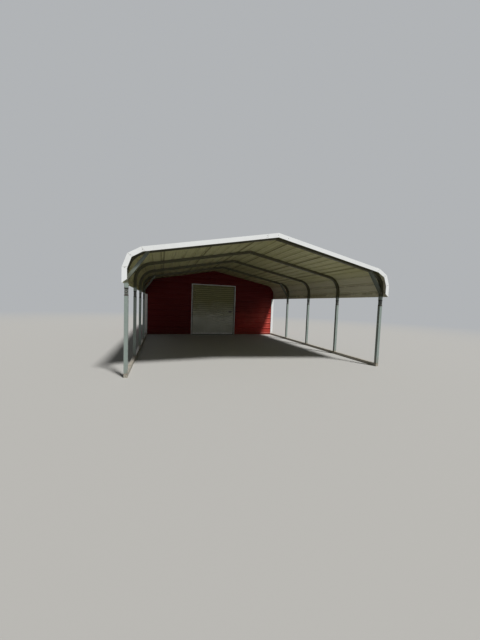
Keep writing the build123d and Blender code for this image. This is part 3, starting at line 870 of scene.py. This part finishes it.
def add_roof_screws():
    """A screw in the pan below each rib, at every bow."""
    shape = Shape()
    for y in BOW_Y:
        station = RIB_PITCH / 2
        while station < EAVE_STATION - RIB[0]:
            for side in (-1, 1):
                at = side * (station + SCREW_FROM_RIB)
                x, z = roof_point(at, SEAT + SHEET)
                shape.add_screw((x, y + rng.uniform(-SCREW_SCATTER, SCREW_SCATTER), z), roof_normal(at))
            station += RIB_PITCH
    shape.piece("roof_screws", (finish["white_screw"],))


# Trim over the roof ends

def add_end_trim(end, facing):
    """Both halves of the folded trim over one end, with darts at the kinks and a lap by the ridge."""
    face = (ROOF_FRONT if facing < 0 else ROOF_REAR) + facing * (SEAT + SHEET - TRIM_INSET)
    flange_end = face - facing * (TRIM_FLANGE + SHEET)
    lip_end = face - facing * TRIM_LIP
    sections = []
    for steel in (0, TRIM_STEEL):
        top, low, inside = TRIM_TOP - steel, TRIM_LOW + steel, face - facing * steel
        sections.append(((top, flange_end), (top, inside), (low, inside), (low, lip_end)))
    for half, side in (("left", -1), ("right", 1)):
        shape = Shape()
        grids = [[[(x, y, z) for x, z in trim_line(half, rise)] for rise, y in section]
                 for section in sections]
        shape.add_sheet(*grids)
        upper, lower = ([Vector((side * x, z)) for x, z in trim_points(rise)]
                        for rise in (TRIM_TOP, TRIM_LOW))
        for number in (1, 2, 3):
            towards = (lower[number - 1] - lower[number]).normalized()
            add_dart(shape, upper[number], lower[number], towards, face, facing)
        if half == "left":
            add_trim_lap(shape, face, facing)
        else:
            add_ridge_rivets(shape, face, facing)
        shape.piece(f"{end}_trim_{half}_folded",
                    (finish["trim_white"], finish["trim_white"], finish["dark_rivet"], finish["lap_shade_grime"]),
                    (f"{end}_trim_{half}",))


def add_dart(shape, upper, lower, towards, face, facing):
    """Fold of the trim's face that laps over itself at a kink, with its rivet and a dark strip along it,
    painted shade of the fold's edge with some dirt.
    """
    corners = [upper.lerp(lower, DART_TOP), lower, lower + towards * DART_WIDTH]
    lift = facing * TRIM_STEEL / 2
    add_patch(shape, corners, face, lift)
    add_lap_shade_line(shape, corners[0], corners[2], towards, face, facing)
    add_rivet(shape, upper.lerp(lower, DART_RIVET) + towards * RIVET[0], face + lift, facing)


def add_patch(shape, corners, face, lift, kind=0):
    """Flat piece on the trim's face, through corners given as x and height."""
    shape.add_plate([(x, face, z) for x, z in corners], Vector((0, lift, 0)), kind)


def add_lap_shade_line(shape, start, end, sideways, face, facing):
    """Dark strip along the edge of a lap: painted shade of the edge, with some dirt."""
    edges = [start, end, end + sideways * LAP_SHADE_WIDTH, start + sideways * LAP_SHADE_WIDTH]
    add_patch(shape, edges, face, facing * TRIM_STEEL / 4, LAP_SHADE_KIND)


def add_rivet(shape, point, face, facing):
    turn = Vector((0, facing, 0)).to_track_quat("Z", "Y").to_matrix().to_4x4()
    place = Matrix.Translation((point.x, face, point.y)) @ turn
    shape.add_prism(place, RIVET[0], RIVET[1] / 2, RIVET_SIDES, RIVET_KIND)


def add_trim_lap(shape, face, facing):
    """Tongue of the left trim that lies over the right one, with its rivets."""
    uphill = Vector((math.cos(SLOPE), math.sin(SLOPE)))
    upper, lower = Vector(trim_joint(TRIM_TOP)), Vector(trim_joint(TRIM_LOW))
    corners = [upper, lower, lower + uphill * TRIM_LAP, upper + uphill * TRIM_LAP]
    lift = facing * TRIM_STEEL / 2
    add_patch(shape, corners, face, lift)
    add_lap_shade_line(shape, corners[3], corners[2], uphill, face, facing)
    for share in LAP_RIVETS:
        spot = upper.lerp(lower, share) + uphill * TRIM_LAP * LAP_RIVET_REACH
        add_rivet(shape, spot, face + lift, facing)


def add_ridge_rivets(shape, face, facing):
    """Rivets of the right trim on both sides of the ridge."""
    middle = PEAK + (TRIM_TOP + TRIM_LOW) / 2 / math.cos(SLOPE)
    for x in RIDGE_RIVETS:
        add_rivet(shape, Vector((x, middle - abs(x) * math.tan(SLOPE))), face, facing)


def add_flange_screws():
    """Screws down through the trim's flange into every other rib."""
    shape = Shape()
    for y in (ROOF_FRONT + FLANGE_SCREWS, ROOF_REAR - FLANGE_SCREWS):
        for number in FLANGE_RIBS:
            for side in (-1, 1):
                station = side * RIB_PITCH * (number + 0.5)
                x, z = roof_point(station, TRIM_TOP)
                shape.add_screw((x, y, z), roof_normal(station))
    shape.piece("trim_flange_screws", (finish["white_screw"],))


# Siding

def siding_profile(top):
    """Corners of upright siding, as height and depth."""
    corners = [(WALL_BOTTOM, 0.0)]
    centre = FIRST_WALL_RIB
    while centre + RIB[0] / 2 < top:
        corners += rib(centre) + minor_ribs(centre)
        centre += RIB_PITCH
    return [corner for corner in corners if corner[0] < top] + [(top, 0.0)]


def depth_at(profile, height):
    """Depth of the siding's profile at a height."""
    for (low, low_depth), (high, high_depth) in zip(profile, profile[1:]):
        if low <= height <= high:
            return low_depth + (high_depth - low_depth) * (height - low) / max(high - low, 1e-9)
    return 0.0


def add_end_wall(name, face_y, facing, left, right, bottom, notched=False):
    """Siding across one end of the room, cut to the roofline, and notched over the base rails."""
    profile = siding_profile(PEAK + RIB_PITCH)
    notch_top = TUBE + NOTCH
    notch_half = TUBE / 2 + NOTCH
    heights = {height for height, _ in profile} | {bottom, notch_top}
    heights = sorted(height for height in heights if height >= bottom)
    marks = {left, right, 0.0}
    marks |= {side * roofline_x(height) for side in (-1, 1) for height in heights if EAVE < height < PEAK}
    angles = [SLOPE + BEND_TURN * step / ARC_STEPS for step in range(ARC_STEPS + 1)]
    marks |= {side * (BEND_X + BEND_RADIUS * math.sin(angle)) for side in (-1, 1) for angle in angles}
    marks |= {side * LEG_X + edge * notch_half for side in (-1, 1) for edge in (-1, 1)}
    columns = sorted(mark for mark in marks if left <= mark <= right)

    def grid(offset):
        rows = []
        for height in heights:
            row = []
            for x in columns:
                z = min(height, roofline(x))
                row.append((x, face_y + facing * (SEAT + offset + depth_at(profile, z)), z))
            rows.append(row)
        return rows

    def in_notch(row, column):
        x = (columns[column] + columns[column + 1]) / 2
        return notched and heights[row] < notch_top and abs(abs(x) - LEG_X) < notch_half

    shape = Shape()
    shape.add_sheet(grid(SHEET), grid(0), in_notch)
    shape.piece(f"{name}_formed", (finish["siding_red"], finish["siding_backer"]), (name,))


def add_side_wall(name, side):
    """Siding along one side of the room, up to the eave."""
    shape = Shape()
    grids = []
    for offset in (SHEET, 0):
        line = [(side * (HALF_WIDTH + SEAT + offset + depth), height)
                for height, depth in siding_profile(EAVE - SEAT)]
        grids.append([[(x, y, height) for y in (ROOM_FRONT, ROOM_BACK)] for x, height in line])
    shape.add_sheet(*grids)
    shape.piece(f"{name}_formed", (finish["siding_red"], finish["siding_backer"]), (name,))


def add_siding():
    inner, outer = DOOR_HALF, HALF_WIDTH - SEAT
    add_end_wall("storage_front_wall_left", ROOM_FRONT, -1, -outer, -inner, WALL_BOTTOM, notched=True)
    add_end_wall("storage_front_wall_right", ROOM_FRONT, -1, inner, outer, WALL_BOTTOM, notched=True)
    add_end_wall("storage_front_wall_over_door", ROOM_FRONT, -1, -inner, inner, DOOR_HEIGHT)
    add_end_wall("storage_rear_wall", ROOM_BACK, 1, -outer, outer, WALL_BOTTOM, notched=True)
    add_side_wall("storage_left_wall", -1)
    add_side_wall("storage_right_wall", 1)


def add_siding_screws():
    """A screw above each rib at every post behind the siding."""
    shape = Shape()
    depth = SEAT + SHEET
    for face_y, facing in ((ROOM_FRONT, -1), (ROOM_BACK, 1)):
        for x in (-MID_POST_X, -JAMB_X - JAMB_SCREWS, JAMB_X + JAMB_SCREWS, MID_POST_X):
            height = FIRST_WALL_RIB + SCREW_FROM_RIB
            while height < roofline(x) - TOP_MARGIN:
                shape.add_screw((x, face_y + facing * depth, height), (0, facing, 0))
                height += RIB_PITCH
    for side in (-1, 1):
        height = FIRST_WALL_RIB + SCREW_FROM_RIB
        while height < EAVE - EAVE_MARGIN:
            shape.add_screw((side * (HALF_WIDTH + depth), BOW_Y[5], height), (side, 0, 0))
            height += RIB_PITCH
    shape.piece("siding_screws", (finish["red_screw"],))


def add_corner_screws():
    """Screws through the corner trims into the ribs."""
    shape = Shape()
    out = RIB[2] + 2 * SEAT + 2 * SHEET
    for side in (-1, 1):
        for face_y, facing in ((ROOM_FRONT, -1), (ROOM_BACK, 1)):
            for number in CORNER_RIBS:
                height = FIRST_WALL_RIB + number * RIB_PITCH
                x, y = side * (HALF_WIDTH + out), face_y + facing * out
                shape.add_screw((x - side * CORNER_SCREWS, y, height), (0, facing, 0))
                shape.add_screw((x, y - facing * CORNER_SCREWS, height), (side, 0, 0), LOW_HEAD)
    shape.piece("corner_trim_screws", (finish["white_screw"],))


# Frame fasteners and welds

def add_frame_screws():
    """Screws at the pins, feet and braces."""
    shape = Shape()
    pin_half = TUBE / 2 - TUBE_WALL - SEAT
    at_joint = [LEG_TOP - drop for drop in LEG_SCREWS] + [BOW_END + rise for rise in BOW_SCREWS]
    for side in (-1, 1):
        for y in BOW_Y:
            x = side * LEG_X
            shape.add_screw((x, y - pin_half, LEG_TOP + PIN_SHOW / 2), (0, -1, 0))
            for height in at_joint + [TUBE + rise for rise in LEG_SCREWS]:
                shape.add_screw((x - side * TUBE / 2, y, height), (-side, 0, 0))
        for y in (BOW_Y[0], BOW_Y[3]):
            for along in BRACE_SCREWS:
                low = side * (HALF_WIDTH - TUBE + BRACE_LAP / 2), BEND_Z - BRACE_DROP + along
                high = roof_point(side * (BEND_START + BRACE_REACH + along), -TUBE + BRACE_LAP / 2)
                for facing in (-1, 1):
                    flange = y + facing * (TUBE / 2 + SEAT + TUBE_WALL)
                    for x, z in (low, high):
                        shape.add_screw((x, flange, z), (0, facing, 0))
    shape.piece("frame_screws", (finish["zinc_screw"],))


def add_welds():
    """Beads round the pins, at the feet, at each peak and at the ends of the peak plates."""
    shape = Shape()
    lift = BEAD_RADIUS * 0.3
    pin_half = TUBE / 2 - TUBE_WALL - SEAT + lift
    for side in (-1, 1):
        for y in BOW_Y:
            around = [(side * LEG_X + dx * pin_half, y + dy * pin_half, LEG_TOP + BEAD_RADIUS * 0.2)
                      for dx, dy in ((-1, -1), (1, -1), (1, 1), (-1, 1))]
            shape.add_bead(around, closed=True)
            for facing in (-1, 1):
                across = [(side * LEG_X - facing * dx * TUBE / 2, y + facing * TUBE / 2, TUBE + lift)
                          for dx in (-1, 1)]
                shape.add_bead(across)
    for y in BOW_Y:
        for facing in (-1, 1):
            edge = y + facing * TUBE / 2
            shape.add_bead([(0, edge, PEAK - 0.004), (0, edge, PEAK - TUBE / math.cos(SLOPE))])
            for side in (-1, 1):
                x, z = roof_point(side * PEAK_PLATE / 2, -TUBE)
                shape.add_bead([(x, y - TUBE / 2, z), (x, y + TUBE / 2, z)])
    shape.piece("frame_welds", (finish["weld_steel"],))


# Door

def add_door_screws():
    """Screws along the door trim."""
    shape = Shape()
    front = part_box("door_trim")[0].y
    half = DOOR_HALF + DOOR_TRIM / 2
    for number in DOOR_RIBS:
        height = FIRST_WALL_RIB + number * RIB_PITCH
        for side in (-1, 1):
            shape.add_screw((side * half, front, height), (0, -1, 0))
    for number in HEADER_SCREWS:
        shape.add_screw((number * HEADER_SCREW_PITCH, front, DOOR_HEIGHT + DOOR_TRIM / 2), (0, -1, 0))
    shape.piece("door_trim_screws", (finish["white_screw"],))


# Finishes, which go by the slot, or by the node where it has one of its own

finish = {
    # Both zinc finishes carry painted shade by height: on the bows above the eave, and along the braces
    "galvanised": galvanised("galvanised", TUBES_PAINTED_SHADE),
    "brace_painted_shade_zinc": galvanised("brace_painted_shade_zinc", BRACES_PAINTED_SHADE),
    "bar_zinc": bar_zinc(),
    "roof_white": roof_white(),
    "roof_backer": roof_backer(),
    "trim_white": trim_white(),
    "siding_red": siding_red(),
    "siding_backer": siding_backer(),
    "door_coat": door_coat(),
    "bare_steel": bare_steel(),
    "weld_steel": weld_steel(),
    "rubber": rubber(),
    "white_screw": screw_paint("white_screw", (0.66, 0.66, 0.64), (0.42, 0.41, 0.38)),
    "red_screw": screw_paint("red_screw", (0.36, 0.035, 0.030), (0.22, 0.06, 0.045)),
    "zinc_screw": screw_paint("zinc_screw", (0.50, 0.51, 0.51), (0.34, 0.30, 0.26)),
    "dark_rivet": screw_paint("dark_rivet", (0.16, 0.16, 0.16), (0.24, 0.20, 0.17)),
    # Strips at the laps: painted shade of their edges, with some dirt
    "lap_shade_grime": screw_paint("lap_shade_grime", (0.42, 0.41, 0.38), (0.30, 0.28, 0.24)),
}
SLOT_FINISHES = {
    "galvanised_tube": "galvanised",
    "roof_sheet": "roof_white",
    "white_trim": "trim_white",
    "red_siding": "siding_red",
    "door_curtain": "door_coat",
    "bare_steel": "bare_steel",
    "black_rubber": "rubber",
}
NODE_FINISHES = {
    "knee_braces_left": "brace_painted_shade_zinc",
    "knee_braces_right": "brace_painted_shade_zinc",
    "door_bottom_bar": "bar_zinc",
}

for subpart in frame["record"]["subparts"]:
    node = subpart["node"]
    name = NODE_FINISHES.get(node, SLOT_FINISHES[subpart["material_slot"]])
    mesh = frame["nodes"][node].data
    mesh.materials.clear()
    mesh.materials.append(finish[name])


# The scene

add_camera()
add_world()
add_floor()
add_key_light()
add_roof()
add_roof_screws()
add_end_trim("front", -1)
add_end_trim("rear", 1)
add_flange_screws()
add_siding()
add_siding_screws()
add_corner_screws()
add_frame_screws()
add_welds()
add_door_screws()

bpy.context.scene.view_settings.view_transform = "Standard"
